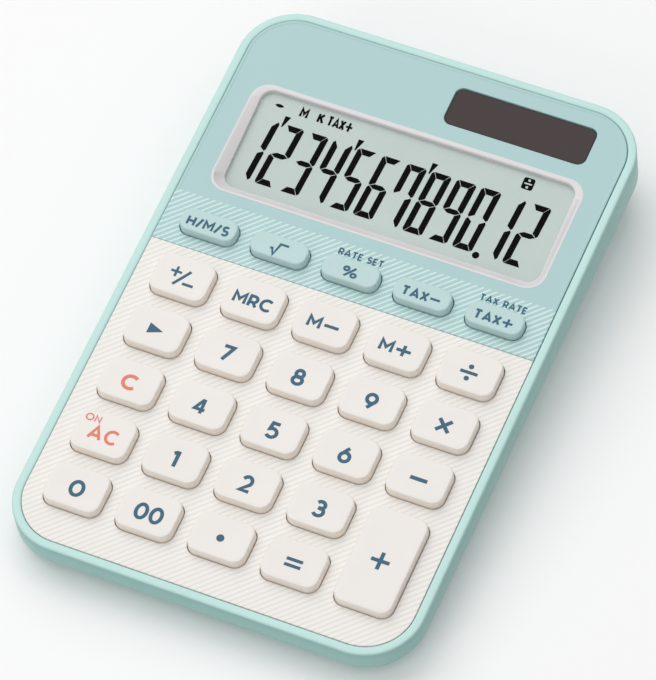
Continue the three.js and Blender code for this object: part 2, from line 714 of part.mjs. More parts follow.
const negativeLead = batteryLead(CELL.x - 9, CELL.y, CELL.x - 7, CELL.x - 6);
const positiveLead = batteryLead(CELL.x + 3, CELL.y + 7, CELL.x + 6, CELL.x + 4);
place(assembly, 'battery_lead_negative', negativeLead, LEAD_COLOURS.negative, 0.5);
place(assembly, 'battery_lead_positive', positiveLead, LEAD_COLOURS.positive, 0.5);

// ---- set the assembly down ------------------------------------------------------------------------

assembly.rotation.x = SLOPE;
const calculator = new THREE.Group();
calculator.name = 'desk_calculator';
calculator.add(assembly);
calculator.updateMatrixWorld(true);
const extent = new THREE.Box3().setFromObject(calculator, true);
const centre = extent.getCenter(new THREE.Vector3());
assembly.position.set(-centre.x, -centre.y, -extent.min.z);
calculator.updateMatrixWorld(true);

export default calculator;
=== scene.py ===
"""Looks of the desk calculator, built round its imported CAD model.

Lengths below are millimetres on the sloping face (x right, y towards the display, z out of the face);
MM turns them into metres, and the FACE matrix puts them where the CAD model has its face.
"""
import json
import math

import bmesh
import bpy
from mathutils import Matrix, Vector
from mathutils.geometry import tessellate_polygon


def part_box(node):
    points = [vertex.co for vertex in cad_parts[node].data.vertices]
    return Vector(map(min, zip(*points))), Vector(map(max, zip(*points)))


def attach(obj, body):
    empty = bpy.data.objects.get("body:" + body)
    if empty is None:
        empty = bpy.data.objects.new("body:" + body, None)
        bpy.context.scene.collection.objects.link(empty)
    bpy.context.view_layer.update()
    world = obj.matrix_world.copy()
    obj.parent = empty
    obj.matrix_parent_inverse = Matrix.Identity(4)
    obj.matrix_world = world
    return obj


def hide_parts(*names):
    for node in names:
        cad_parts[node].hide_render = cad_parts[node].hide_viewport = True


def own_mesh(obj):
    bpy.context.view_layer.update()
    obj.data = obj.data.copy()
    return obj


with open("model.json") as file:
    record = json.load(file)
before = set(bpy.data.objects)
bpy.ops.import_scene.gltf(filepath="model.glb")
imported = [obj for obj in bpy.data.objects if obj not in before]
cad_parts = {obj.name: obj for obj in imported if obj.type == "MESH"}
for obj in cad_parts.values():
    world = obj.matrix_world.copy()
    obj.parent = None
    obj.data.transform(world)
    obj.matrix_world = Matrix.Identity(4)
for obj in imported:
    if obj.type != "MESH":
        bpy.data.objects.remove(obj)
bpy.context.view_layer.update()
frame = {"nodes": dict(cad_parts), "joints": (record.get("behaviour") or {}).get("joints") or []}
MM = 0.001


# ---- camera ----

AIM = Vector((1.25, -3.94, 14.0)) * MM
AZIMUTH = math.radians(28.084)
ELEVATION = math.radians(55.601)
ROLL = math.radians(-5.490)
DISTANCE = 1232.6 * MM
LENS = 273.04  # long, since the calculator is seen from far off
SENSOR_WIDTH = 36.0


def place_object(name, data):
    obj = bpy.data.objects.new(name, data)
    bpy.context.scene.collection.objects.link(obj)
    return obj


def make_camera():
    camera = place_object("camera", bpy.data.cameras.new("camera"))
    level = math.cos(ELEVATION)
    back = Vector((math.sin(AZIMUTH) * level, -math.cos(AZIMUTH) * level, math.sin(ELEVATION)))
    facing = (-back).to_track_quat("-Z", "Y").to_matrix().to_4x4()
    camera.matrix_world = Matrix.Translation(AIM + back * DISTANCE) @ facing @ Matrix.Rotation(ROLL, 4, "Z")
    camera.data.lens = LENS
    camera.data.sensor_width = SENSOR_WIDTH
    camera.data.clip_start = 0.05
    camera.data.clip_end = 20.0
    bpy.context.scene.camera = camera


make_camera()


# ---- where the face lies ----

PANEL_EDGE = 77.3  # rear edge of the display panel, from the middle of the face
PANEL_THICKNESS = 1.0


def face_matrix():
    """The sloping face's frame: its normal is the keys' sliding direction."""
    normal = Vector(frame["joints"][0]["axis"]).normalized()
    slope = math.atan2(-normal.y, normal.z)
    rear_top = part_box("display_panel")[1]
    origin_z = rear_top.z - PANEL_EDGE * MM * math.sin(slope)
    origin_y = rear_top.y - PANEL_EDGE * MM * math.cos(slope) - PANEL_THICKNESS * MM * math.sin(slope)
    return Matrix.Translation((0, origin_y, origin_z)) @ Matrix.Rotation(slope, 4, "X")


FACE = face_matrix()
SLOPE = FACE.to_euler().x
FACE_INVERSE = FACE.inverted()


def face_box(node):
    """A CAD node's lowest and highest corners in the face's own frame, in millimetres."""
    points = [(FACE_INVERSE @ vertex.co) / MM for vertex in frame["nodes"][node].data.vertices]
    low = Vector(min(point[axis] for point in points) for axis in range(3))
    high = Vector(max(point[axis] for point in points) for axis in range(3))
    return low, high


# ---- materials ----

MINT = (0.52, 0.76, 0.72)
# Painted shade: the case's upright sides are coloured darker than the rim to stand for the shade they lie
# in.
MINT_PAINTED_SIDE_SHADE = (0.245, 0.465, 0.435)
MINT_PANEL = (0.395, 0.59, 0.594)
MINT_KEY = (0.49, 0.67, 0.66)
# Painted light: the pill keys' upright sides are coloured lighter than their tops to stand for light
# falling on them.
MINT_KEY_PAINTED_SIDE_LIGHT = (0.53, 0.71, 0.70)
CREAM = (0.84, 0.80, 0.76)
# Painted light: the cream keys' upright sides are coloured lighter and warmer than their tops to stand for
# light falling on them.
CREAM_PAINTED_SIDE_LIGHT = (0.92, 0.84, 0.76)
CREAM_PANEL = (0.86, 0.835, 0.80)
MINT_LINE = (0.63, 0.80, 0.775)
CREAM_LINE = (0.76, 0.735, 0.70)
INK_BLUE = (0.070, 0.155, 0.225)
INK_CORAL = (0.79, 0.25, 0.185)
MINT_HATCH_ENDS = (7.0, 21.9)  # the front part of the display panel
CREAM_HATCH_ENDS = (-90.0, 90.0)  # all of the keypad panel
LINE_CONTRAST = 1.5  # how crisp the printed lines are
LINE_WIDENING = -0.2  # below zero for lines narrower than the gaps
PAINTED_SIDE_FALLOFF = 0.7  # how soon a face that tilts takes its painted side shading
HATCH_SPACING = 1.248  # between the panels' 45 degree lines
HATCH_PITCH = HATCH_SPACING * MM * math.sqrt(2)  # the same, along x


class Nodes:
    """A material's node tree, with short calls for the few kinds of node that the finishes use."""

    def __init__(self):
        self.material = bpy.data.materials.new("finish")
        self.material.use_nodes = True
        self.tree = self.material.node_tree
        self.shader = self.tree.nodes["Principled BSDF"]
        self.coordinates = self.tree.nodes.new("ShaderNodeTexCoord").outputs["Object"]

    def link(self, source, target):
        self.tree.links.new(source, target)

    def noise(self, size, detail=2.0):
        """Noise with lumps of about this size in metres."""
        node = self.tree.nodes.new("ShaderNodeTexNoise")
        node.inputs["Scale"].default_value = 1.0 / size
        node.inputs["Detail"].default_value = detail
        self.link(self.coordinates, node.inputs["Vector"])
        return node.outputs["Fac"]

    def math(self, operation, first, second=0.0, third=0.0):
        node = self.tree.nodes.new("ShaderNodeMath")
        node.operation = operation
        for socket, value in zip(node.inputs, (first, second, third)):
            if isinstance(value, (int, float)):
                socket.default_value = value
            else:
                self.link(value, socket)
        return node.outputs[0]

    def mix(self, factor, dark, light):
        node = self.tree.nodes.new("ShaderNodeMix")
        node.data_type = "RGBA"
        self.link(factor, node.inputs["Factor"])
        for name, value in (("A", dark), ("B", light)):
            socket = next(s for s in node.inputs if s.name == name and s.type == "RGBA")
            if isinstance(value, tuple):
                socket.default_value = (*value, 1.0)
            else:
                self.link(value, socket)
        return next(s for s in node.outputs if s.type == "RGBA")

    def tint(self, factor, colour, spread):
        """The colour, a little darker and lighter by turns."""
        return self.mix(factor, shade(colour, 1 - spread), shade(colour, 1 + spread))

    def base(self, tint):
        self.link(tint, self.shader.inputs["Base Color"])

    def uneven_roughness(self, size, low, high):
        self.link(self.range(self.noise(size), low, high), self.shader.inputs["Roughness"])

    def range(self, value, low, high):
        node = self.tree.nodes.new("ShaderNodeMapRange")
        self.link(value, node.inputs["Value"])
        node.inputs["To Min"].default_value = low
        node.inputs["To Max"].default_value = high
        return node.outputs["Result"]

    def bump(self, height, strength, distance):
        node = self.tree.nodes.new("ShaderNodeBump")
        node.inputs["Strength"].default_value = strength
        node.inputs["Distance"].default_value = distance
        self.link(height, node.inputs["Height"])
        self.link(node.outputs["Normal"], self.shader.inputs["Normal"])

    def set(self, values):
        for name, value in values.items():
            self.shader.inputs[name].default_value = value


def shade(colour, factor):
    return tuple(min(1.0, channel * factor) for channel in colour)


def moulded_plastic(colour, roughness=0.42, grain=0.12, painted_side_shading=None):
    """Opaque moulded plastic: faint cloudiness in the colour, and the fine grain of the mould.

    The painted side shading is a colour painted on upright sides, in place of the light and shade that
    falls on them differently from the top."""
    nodes = Nodes()
    tint = nodes.tint(nodes.noise(14 * MM), colour, 0.03)
    if painted_side_shading:
        # Painted side shading: upright faces take a colour that stands in for their light and shade, mixed
        # in by how far each face turns from upward.
        facing = nodes.tree.nodes.new("ShaderNodeSeparateXYZ")
        nodes.link(nodes.tree.nodes.new("ShaderNodeNewGeometry").outputs["Normal"], facing.inputs[0])
        upward = nodes.math("ABSOLUTE", facing.outputs["Z"])
        tint = nodes.mix(nodes.math("POWER", upward, PAINTED_SIDE_FALLOFF), painted_side_shading, tint)
    nodes.base(tint)
    nodes.uneven_roughness(3 * MM, roughness - 0.05, roughness + 0.05)
    nodes.bump(nodes.noise(0.28 * MM, detail=3.0), grain, 0.02 * MM)
    return nodes.material


def hatched_plastic(colour, line_colour, ends, roughness=0.42):
    """A printed and embossed panel, with 45-degree lines from one length along the face to another."""
    nodes = Nodes()
    front, rear = ends
    split = nodes.tree.nodes.new("ShaderNodeSeparateXYZ")
    nodes.link(nodes.coordinates, split.inputs[0])
    from_centre = nodes.math("SUBTRACT", split.outputs["Y"], FACE.translation.y)
    along = nodes.math("DIVIDE", from_centre, math.cos(SLOPE))
    across = nodes.math("SUBTRACT", split.outputs["X"], along)
    turns = nodes.math("MULTIPLY", across, 2 * math.pi / HATCH_PITCH)
    wave = nodes.math("SINE", turns)
    steep = nodes.math("MULTIPLY_ADD", wave, LINE_CONTRAST, LINE_WIDENING)
    lines = nodes.math("MAXIMUM", nodes.math("MINIMUM", steep, 1.0), 0.0)
    after_front = nodes.math("GREATER_THAN", along, front * MM)
    before_rear = nodes.math("LESS_THAN", along, rear * MM)
    lined = nodes.math("MULTIPLY", lines, nodes.math("MULTIPLY", after_front, before_rear))
    nodes.base(nodes.mix(lined, nodes.tint(nodes.noise(16 * MM), colour, 0.015), line_colour))
    nodes.uneven_roughness(3 * MM, roughness - 0.04, roughness + 0.04)
    nodes.bump(lined, 0.5, 0.02 * MM)
    return nodes.material


def ink(colour, roughness=0.5):
    """Printed or moulded-in lettering: matt, and slightly uneven."""
    nodes = Nodes()
    nodes.base(nodes.tint(nodes.noise(0.8 * MM), colour, 0.06))
    nodes.set({"Roughness": roughness, "Specular IOR Level": 0.03})
    return nodes.material


def gloss(colour, roughness, metallic=0.0, grain_size=2.0, specular=0.5):
    """A smooth hard surface: metal, glass or polished plastic, with a slightly uneven finish."""
    nodes = Nodes()
    nodes.base(nodes.tint(nodes.noise(grain_size * MM), colour, 0.05))
    nodes.uneven_roughness(grain_size * 0.4 * MM, roughness * 0.8, roughness * 1.2)
    nodes.set({"Metallic": metallic, "Specular IOR Level": specular})
    return nodes.material


def clear_window():
    """The display's clear window: only its gloss and a trace of haze are seen."""
    nodes = Nodes()
    haze = nodes.range(nodes.noise(9 * MM), 0.001, 0.002)
    nodes.link(haze, nodes.shader.inputs["Alpha"])
    nodes.set({"Roughness": 0.06, "Specular IOR Level": 0.3})
    nodes.shader.inputs["Base Color"].default_value = (0.9, 0.95, 0.93, 1.0)
    return nodes.material


def brushed_board(colour):
    """Phenolic circuit board: paper fibres along its length."""
    nodes = Nodes()
    stretch = nodes.tree.nodes.new("ShaderNodeMapping")
    stretch.inputs["Scale"].default_value = (1.0, 0.08, 1.0)
    nodes.link(nodes.coordinates, stretch.inputs["Vector"])
    fibres = nodes.noise(0.6 * MM, detail=4.0)
    nodes.link(stretch.outputs["Vector"], fibres.node.inputs["Vector"])
    nodes.base(nodes.mix(fibres, shade(colour, 0.8), shade(colour, 1.15)))
    nodes.set({"Roughness": 0.6})
    return nodes.material


MATERIALS = {
    # The case and key finishes carry painted side shading on their upright faces.
    "case_plastic": moulded_plastic(MINT, painted_side_shading=MINT_PAINTED_SIDE_SHADE),
    "mint_panel": hatched_plastic(MINT_PANEL, MINT_LINE, MINT_HATCH_ENDS, 0.36),
    "cream_panel": hatched_plastic(CREAM_PANEL, CREAM_LINE, CREAM_HATCH_ENDS),
    "mint_key": moulded_plastic(MINT_KEY, painted_side_shading=MINT_KEY_PAINTED_SIDE_LIGHT),
    "cream_key": moulded_plastic(CREAM, painted_side_shading=CREAM_PAINTED_SIDE_LIGHT),
    "bezel_plastic": moulded_plastic((0.71, 0.685, 0.70), 0.35),
    "window_plastic": clear_window(),
    "lcd": gloss((0.54, 0.62, 0.59), 0.5, grain_size=20.0, specular=0.2),
    "lcd_ink": ink((0.001, 0.001, 0.001), 0.6),
    "white_plastic": moulded_plastic((0.78, 0.79, 0.78)),
    "connector_film": gloss((0.48, 0.27, 0.09), 0.4),
    "solar_window": gloss((0.056, 0.040, 0.042), 0.22, grain_size=6.0, specular=0.12),
    "solar_cell": gloss((0.03, 0.02, 0.022), 0.15),
    "silicone": moulded_plastic((0.68, 0.68, 0.66), 0.6),
    "board": brushed_board((0.36, 0.20, 0.07)),
    "epoxy": gloss((0.010, 0.010, 0.011), 0.35),
    "cell_steel": gloss((0.58, 0.57, 0.54), 0.28, metallic=1.0),
    "contact_steel": gloss((0.62, 0.58, 0.50), 0.32, metallic=1.0),
    "screw_steel": gloss((0.40, 0.40, 0.39), 0.35, metallic=1.0, grain_size=0.5),
    "foot_rubber": moulded_plastic((0.035, 0.038, 0.040), 0.75, grain=0.3),
    "red_wire": moulded_plastic((0.42, 0.03, 0.02)),
    "black_wire": moulded_plastic((0.02, 0.02, 0.022)),
    "ink_blue": ink(INK_BLUE),
    "ink_coral": ink(INK_CORAL),
}
for name, material in MATERIALS.items():
    material.name = name


# ---- shapes ----

def outline(width, length, radius, grow=0.0, x=0.0, y=0.0, steps=10):
    """Points round a rectangle with rounded corners, grown on all sides; a negative grow shrinks it."""
    half_x = width / 2 + grow
    half_y = length / 2 + grow
    radius = min(max(radius + grow, 0.05), half_x, half_y)
    points = []
    for corner, (side_x, side_y) in enumerate(((1, 1), (-1, 1), (-1, -1), (1, -1))):
        for step in range(steps + 1):
            angle = math.pi / 2 * (corner + step / steps)
            px = x + side_x * (half_x - radius) + radius * math.cos(angle)
            py = y + side_y * (half_y - radius) + radius * math.sin(angle)
            points.append((px, py))
    return points


def circle(radius, x, y, sides):
    angles = [2 * math.pi * side / sides for side in range(sides)]
    return [(x + radius * math.cos(a), y + radius * math.sin(a)) for a in angles]


def fillet(inset, top, radius, steps):
    """Insets and heights round an outside edge, from the foot of the rounding to the flat top."""
    angles = [math.pi / 2 * step / steps for step in range(steps + 1)]
    return [(inset + radius * (1 - math.cos(a)), top - radius * (1 - math.sin(a))) for a in angles]


def sections(plan, levels):
    """Outlines of one plan, grown by the first number of each level and set at its height."""
    return [(outline(**plan, grow=grow), height) for grow, height in levels]


def height_at(surface, y):
    """The height of a surface, which is a number or a function of the length along the face."""
    return surface(y) if callable(surface) else surface


def raised(surface, height):
    return lambda y: height_at(surface, y) + height


class Shape:
    """The vertices and faces of one piece, in millimetres on the face or on the underside."""

    def __init__(self):
        self.vertices = []
        self.faces = []

    def ring(self, points, height):
        start = len(self.vertices)
        self.vertices += [(x, y, height_at(height, y)) for x, y in points]
        return list(range(start, len(self.vertices)))

    def band(self, lower, upper):
        count = len(lower)
        for i in range(count):
            j = (i + 1) % count
            self.faces.append((lower[i], lower[j], upper[j], upper[i]))

    def bands(self, rings):
        for lower, upper in zip(rings, rings[1:]):
            self.band(lower, upper)

    def cap(self, ring):
        self.faces.append(tuple(ring))

    def fill(self, outer, holes):
        """Flat faces between an outer ring and the rings of its holes."""
        rings = [outer, *holes]
        flat = [index for ring in rings for index in ring]
        loops = [[Vector((*self.vertices[index][:2], 0)) for index in ring] for ring in rings]
        for triangle in tessellate_polygon(loops):
            self.faces.append(tuple(flat[corner] for corner in triangle))

    def loft(self, sections):
        """A closed solid through (points, height) sections, with flat ends."""
        rings = [self.ring(points, height) for points, height in sections]
        self.bands(rings)
        self.cap(rings[0])
        self.cap(rings[-1])
        return self

    def prism(self, points, low, high):
        return self.loft([(points, low), (points, high)])

    def spin(self, profile, x, y, sides):
        """A round solid through (radius, height) pairs."""
        return self.loft([(circle(radius, x, y, sides), height) for radius, height in profile])


SHARP_ANGLE = math.radians(32)


def piece(name, shape, material, place=None):
    """Turns a shape into an object with a finish, in place on the face unless told otherwise.

    Its one slot holds the named finish."""
    mesh = bpy.data.meshes.new(name)
    mesh.from_pydata([Vector(vertex) * MM for vertex in shape.vertices], [], shape.faces)
    build = bmesh.new()
    build.from_mesh(mesh)
    bmesh.ops.recalc_face_normals(build, faces=build.faces)
    build.to_mesh(mesh)
    build.free()
    mesh.transform(FACE if place is None else place)
    obj = place_object(name, mesh)
    finish_mesh(obj, material)
    return obj


def finish_mesh(obj, material):
    """Gives a mesh its finish, and smooth shading except over edges sharper than the limit."""
    obj.data.materials.clear()
    obj.data.materials.append(MATERIALS[material])
    obj.data.shade_smooth()
    obj.data.set_sharp_from_angle(angle=SHARP_ANGLE)


def combine(obj, tools, operation):
    """Joins or cuts an object with others, which are used up."""
    for tool in tools:
        modifier = obj.modifiers.new("combine", "BOOLEAN")
        modifier.operation = operation
        modifier.solver = "EXACT"
        modifier.object = tool
    bpy.context.view_layer.update()
    evaluated = obj.evaluated_get(bpy.context.evaluated_depsgraph_get())
    mesh = bpy.data.meshes.new_from_object(evaluated)
    obj.modifiers.clear()
    obj.data = mesh
    for tool in tools:
        bpy.data.objects.remove(tool)


def on_case(obj, *nodes):
    """The object rides on the case and stands for these CAD nodes."""
    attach(obj, "case")
    if nodes:
        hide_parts(*nodes)


def plan_of(box, radius, grow=0.0):
    """The rounded rectangle round a box, grown on all sides."""
    low, high = box
    middle = (low + high) / 2
    width = high.x - low.x + 2 * grow
    length = high.y - low.y + 2 * grow
    return {"x": middle.x, "y": middle.y, "width": width, "length": length, "radius": radius}


def centre(box):
    low, high = box
    return (low.x + high.x) / 2, (low.y + high.y) / 2


# ---- stroked lettering ----

def arc(x, y, radius_x, radius_y, start, end, steps=18):
    angles = [math.radians(start + (end - start) * step / steps) for step in range(steps + 1)]
    return [(x + radius_x * math.cos(a), y + radius_y * math.sin(a)) for a in angles]


class Ring(list):
    """The points of a closed line."""


def oval(x, y, radius_x, radius_y):
    return Ring(arc(x, y, radius_x, radius_y, 0, 345, 23))


# Centre lines of plain geometric characters, one unit high.
GLYPHS = {
    "0": [oval(0.37, 0.5, 0.37, 0.5)],
    "1": [[(0, 0.90), (0.20, 1), (0.36, 1), (0.36, 0)]],
    "2": [arc(0.33, 0.68, 0.31, 0.32, 160, -38) + [(0.02, 0), (0.68, 0)]],
    "3": [
        arc(0.30, 0.75, 0.26, 0.25, 150, -80, 12) + [(0.20, 0.54)],
        [(0.20, 0.54)] + arc(0.30, 0.28, 0.31, 0.28, 80, -150),
    ],
    "4": [[(0.56, 0), (0.56, 1)], [(0.50, 0.99), (0.02, 0.27), (0.82, 0.27)]],
    "5": [[(0.62, 1), (0.16, 1), (0.10, 0.56)] + arc(0.30, 0.31, 0.33, 0.31, 100, -145)],
    "6": [oval(0.33, 0.32, 0.33, 0.32), [(0.44, 1), (0.06, 0.48)]],
    "7": [[(0, 1), (0.62, 1), (0.16, 0)]],
    "8": [oval(0.33, 0.75, 0.26, 0.25), oval(0.33, 0.27, 0.33, 0.27)],
    "9": [oval(0.33, 0.68, 0.33, 0.32), [(0.22, 0), (0.60, 0.52)]],
    "A": [[(0, 0), (0.42, 1), (0.84, 0)], [(0.16, 0.28), (0.68, 0.28)]],
    "C": [arc(0.46, 0.5, 0.46, 0.5, 48, 312)],
    "E": [[(0.50, 1), (0, 1), (0, 0), (0.50, 0)], [(0, 0.5), (0.44, 0.5)]],
    "H": [[(0, 0), (0, 1)], [(0.66, 0), (0.66, 1)], [(0, 0.5), (0.66, 0.5)]],
    "K": [[(0, 0), (0, 1)], [(0.58, 1), (0.08, 0.46)], [(0.22, 0.60), (0.62, 0)]],
    "M": [[(0, 0), (0, 0.98), (0.43, 0.36), (0.86, 0.98), (0.86, 0)]],
    "N": [[(0, 0), (0, 1), (0.68, 0), (0.68, 1)]],
    "O": [oval(0.48, 0.5, 0.48, 0.5)],
    "R": [
        [(0, 0), (0, 1), (0.30, 1)] + arc(0.30, 0.70, 0.28, 0.30, 80, -80, 10) + [(0.02, 0.40)],
        [(0.34, 0.40), (0.60, 0)],
    ],
    "S": [arc(0.27, 0.74, 0.25, 0.26, 40, 250) + arc(0.27, 0.26, 0.27, 0.26, 75, -145)],
    "T": [[(0, 1), (0.68, 1)], [(0.34, 1), (0.34, 0)]],
    "X": [[(0, 0), (0.66, 1)], [(0, 1), (0.66, 0)]],
    "/": [[(0, -0.05), (0.40, 1.05)]],
    "+": [[(0, 0.5), (1.12, 0.5)], [(0.56, -0.02), (0.56, 1.02)]],
    "-": [[(0, 0.5), (1.12, 0.5)]],
    "%": [oval(0.17, 0.78, 0.17, 0.20), oval(0.78, 0.22, 0.17, 0.20), [(0.16, -0.02), (0.79, 1.02)]],
    "√": [[(0, 0.50), (0.18, 0.52), (0.42, 0), (0.70, 1), (1.40, 1)]],
    " ": [],
}
LETTER_GAP = 0.36
SPACE_WIDTH = 0.3
OVERLAP_STEP = 0.004  # strokes that cross lie at slightly different heights
INK_DEPTH = 0.1  # how deep a legend reaches, most of it sunk in its key or panel


def stroke(shape, points, half, ring, height, depth):
    """Adds one line of the given half width as a thin closed solid; a ring's ends are joined."""
    points = [Vector(point) for point in points]
    count = len(points)
    sides = []
    for i, point in enumerate(points):
        before = points[i - 1] if i or ring else None
        after = points[(i + 1) % count] if i < count - 1 or ring else None
        enter = (point - before).normalized() if before else (after - point).normalized()
        leave = (after - point).normalized() if after else enter
        normal = Vector((-(enter + leave).y, (enter + leave).x)).normalized()
        reach = half / max(normal.dot(Vector((-enter.y, enter.x))), 0.5)
        sides.append((point + normal * reach, point - normal * reach))
    left = [side[0] for side in sides]
    right = [side[1] for side in sides]
    corners = [
        shape.ring([tuple(point) for point in line], raised(height, -drop))
        for line, drop in ((left, 0), (right, 0), (right, depth), (left, depth))
    ]
    last = count if ring else count - 1
    for i in range(last):
        j = (i + 1) % count
        for near, far in zip(corners, corners[1:] + corners[:1]):
            shape.faces.append((near[i], near[j], far[j], far[i]))
    if not ring:
        shape.faces.append(tuple(corner[0] for corner in corners))
        shape.faces.append(tuple(corner[-1] for corner in corners))


def write(shape, text, x, y, width, height, weight, level, depth=INK_DEPTH):
    """Adds a line of characters centred on a point, stretched to this width and height."""
    lines = []
    cursor = 0.0
    for character in text:
        strokes = GLYPHS[character]
        reach = max((px for points in strokes for px, py in points), default=SPACE_WIDTH)
        for points in strokes:
            lines.append(([(px + cursor, py) for px, py in points], isinstance(points, Ring)))
        cursor += reach + LETTER_GAP
    total = cursor - LETTER_GAP
    wide = (width - weight) / total if total else 1.0
    tall = height - weight
    for order, (points, ring) in enumerate(lines):
        placed = [(x + (px - total / 2) * wide, y + (py - 0.5) * tall) for px, py in points]
        top = raised(level, order % 3 * OVERLAP_STEP)
        stroke(shape, placed, weight / 2, ring, top, depth)
    return shape


# ---- case and panels ----

WIDTH = 104.5
LENGTH = 159.5
CORNER = 14.4
RIM = 2.25  # width of the rim round the panels
FLOOR_TOP = -1.3  # the upper case's floor, under the panels
FLOOR_BOTTOM = -2.6
WALL = 1.8
SEAM_Y = 7.2  # where the two panels meet
PANEL_JOINT = 0.06  # the gap between panels, and round the bezel
RIM_GAP = 0.1  # between the panels and the rim
WINDOW_GAP = 0.2  # round the display window and the solar window
BEAD_HEIGHT = 0.08  # the raised edge of the display panel
BEAD_WIDTH = 0.85
CASE_STEPS = 20
SIDE_FOOT = (-6.45, -10.6)  # where the upper case's side ends, at its front and rear edges
UNDERSIDE = (-9.4, -21.4)  # the flat underside, below the face's front and rear edges
FLANGE_PROUD = 0.8  # how far a key's hidden flange reaches past its opening
PILL_CORNER = 2.9
KEY_CORNER = 3.1

KEYS = sorted(name for name in frame["nodes"] if name.startswith("key_"))
PILLS = ("key_time", "key_root", "key_percent", "key_tax_minus", "key_tax_plus")


def between(ends):
    """A height that runs evenly from the case's front edge to its rear edge."""
    front, rear = ends
    return lambda y: front + (rear - front) * (y + LENGTH / 2) / LENGTH


def case_outline(inset):
    return outline(WIDTH, LENGTH, CORNER, -inset, steps=CASE_STEPS)


def opening_of(key):
    """A key's opening in the panel: its middle, width, length and corner radius."""
    return plan_of(face_box(key), PILL_CORNER if key in PILLS else KEY_CORNER, -FLANGE_PROUD)


OPENINGS = {key: opening_of(key) for key in KEYS}
BEZEL_CORNER = 4.6
SOLAR_CORNER = 2.0
BEZEL = plan_of(face_box("lcd_bezel"), BEZEL_CORNER)
WINDOW = plan_of(face_box("lcd_window"), 3.0 + WINDOW_GAP, WINDOW_GAP)
SOLAR = plan_of(face_box("solar_window"), SOLAR_CORNER)


def upper_case():
    """The rim and side wall in one closed section, with a floor that carries the panels."""
    side_foot = between(SIDE_FOOT)
    foot = [(WALL, side_foot), (0.35, side_foot), (0.12, raised(side_foot, 0.12)),
            (0.0, raised(side_foot, 0.40)), (0.0, -0.65)]
    crown = [(0.02, -0.46), (0.07, -0.28), (0.17, -0.13), (0.32, -0.04), (0.55, 0.0), (1.60, 0.0),
             (1.90, -0.03), (2.08, -0.12), (2.20, -0.26), (RIM, -0.42), (RIM, FLOOR_TOP)]
    shape = Shape()
    rings = [shape.ring(case_outline(inset), height) for inset, height in foot + crown]
    shape.bands(rings)
    under = shape.ring(case_outline(WALL), FLOOR_BOTTOM)
    shape.band(under, rings[0])
    holes = [outline(**OPENINGS[key], grow=0.1, steps=3) for key in KEYS]
    holes.append(outline(**BEZEL, grow=WINDOW_GAP, steps=6))
    holes.append(outline(**SOLAR, grow=-1.2, steps=3))
    tops = [shape.ring(hole, FLOOR_TOP) for hole in holes]
    bottoms = [shape.ring(hole, FLOOR_BOTTOM) for hole in holes]
    for top, bottom in zip(tops, bottoms):
        shape.band(top, bottom)
    shape.fill(rings[-1], tops)
    shape.fill(under, bottoms)
    on_case(piece("case_top", shape, "case_plastic"), "upper_case")


def panel_outline(front, rear, inset):
    """The part of the panel recess between two lengths, shrunk on all sides."""
    edge = RIM + RIM_GAP + inset
    whole = case_outline(edge)
    half_x = WIDTH / 2 - edge
    if rear is None:
        kept = [point for point in whole if point[1] > front + inset]
        return [*kept, (-half_x, front + inset), (half_x, front + inset)]
    kept = [point for point in whole if point[1] < rear - inset]
    return [(half_x, rear - inset), (-half_x, rear - inset), *kept]


def panel(name, front, rear, edge_profile, holes, material, node):
    """A flat panel with a shaped outer edge and small roundings round its holes."""
    shape = Shape()
    bottom = shape.ring(panel_outline(front, rear, 0.0), -PANEL_THICKNESS)
    rings = [shape.ring(panel_outline(front, rear, inset), height) for inset, height in edge_profile]
    shape.bands([bottom, *rings])
    tops = []
    bottoms = []
    for hole in holes:
        lowest = shape.ring(outline(**hole), -PANEL_THICKNESS)
        rounding = sections(hole, [*fillet(0.0, 0.0, 0.12, 3), (0.2, 0.0)])
        levels = [shape.ring(points, height) for points, height in rounding]
        shape.bands([lowest, *levels])
        tops.append(levels[-1])
        bottoms.append(lowest)
    shape.fill(rings[-1], tops)
    shape.fill(bottom, bottoms)
    on_case(piece(name, shape, material), node)


def keypad_panel():
    holes = [OPENINGS[key] for key in KEYS if OPENINGS[key]["y"] < SEAM_Y]
    profile = [*fillet(0.0, 0.0, 0.15, 3), (0.3, 0.0)]
    rear = SEAM_Y - PANEL_JOINT / 2
    panel("keypad_face", None, rear, profile, holes, "cream_panel", "keypad_panel")


def display_panel():
    holes = [OPENINGS[key] for key in KEYS if OPENINGS[key]["y"] > SEAM_Y]
    joint = PANEL_JOINT / 2
    holes.append(plan_of(face_box("lcd_bezel"), BEZEL_CORNER + joint, joint))
    holes.append(plan_of(face_box("solar_window"), SOLAR_CORNER + WINDOW_GAP, WINDOW_GAP))
    profile = [(0.0, -0.10), (0.04, BEAD_HEIGHT - 0.04), (0.12, BEAD_HEIGHT),
               (BEAD_WIDTH - 0.15, BEAD_HEIGHT), (BEAD_WIDTH, 0.0), (BEAD_WIDTH + 0.15, 0.0)]
    panel("display_face", SEAM_Y + joint, None, profile, holes, "mint_panel", "display_panel")


upper_case()
keypad_panel()
display_panel()


# ---- display and solar window ----

TILT = 0.082  # the display lies deeper at its front edge


def sheet_top(node, lift=0.0):
    """The height along a tilted display sheet's upper face."""
    high = face_box(node)[1]
    return lambda y: high.z - (high.y - y) * TILT + lift


